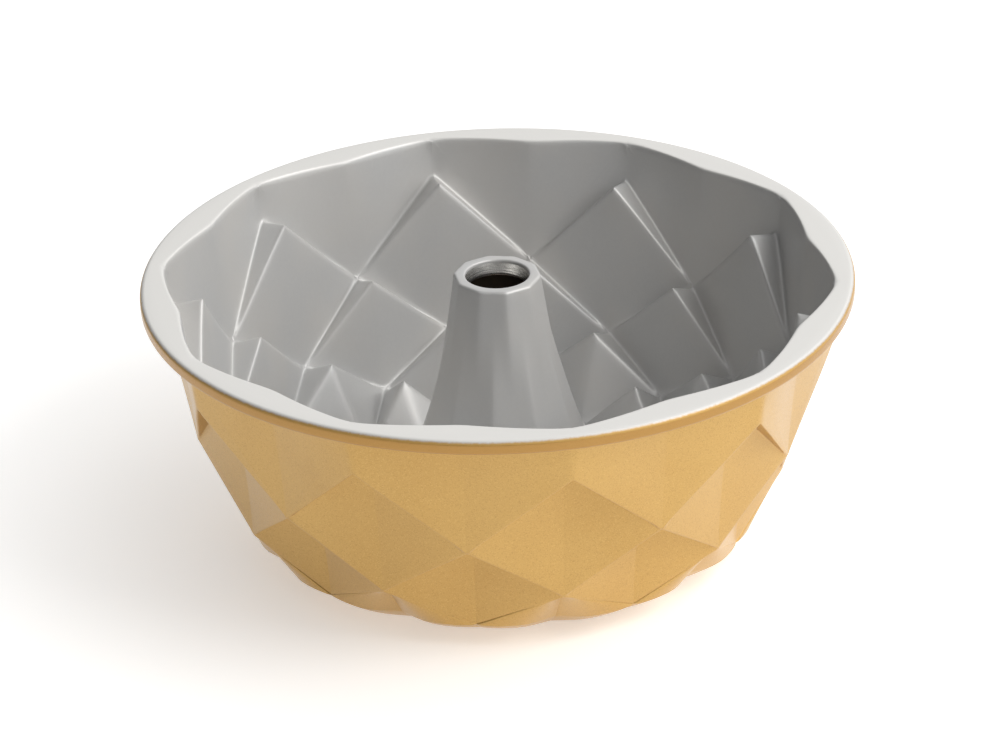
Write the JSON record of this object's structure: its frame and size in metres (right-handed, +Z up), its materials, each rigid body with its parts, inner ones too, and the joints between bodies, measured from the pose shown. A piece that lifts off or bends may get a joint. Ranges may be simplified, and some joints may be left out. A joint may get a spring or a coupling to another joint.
{
  "type": "bundt pan",
  "caption": "Round tube cake pan with overlapping diamond facets, a hollow centre chimney, a flat rim, gold enamel outside and grey nonstick inside.",
  "frame": {"origin": "middle of the face the pan rests on", "axes": "+Z up along the chimney, +X through an outward corner of the mouth"},
  "size_m": [0.254, 0.254, 0.1023],
  "materials": {
    "gold_enamel": "metallic gold enamel, fine sparkle",
    "nonstick_grey": "satin grey nonstick",
    "bare_aluminium": "machined, lightly scratched"
  },
  "bodies": {
    "root": {"rim_flange": "gold_enamel", "bowl_wall": "gold_enamel", "foot_ring": "gold_enamel", "centre_tube": "gold_enamel", "tube_collar": "bare_aluminium", "rim_lining": "nonstick_grey", "bowl_lining": "nonstick_grey", "tube_lining": "nonstick_grey"}
  },
  "joints": []
}
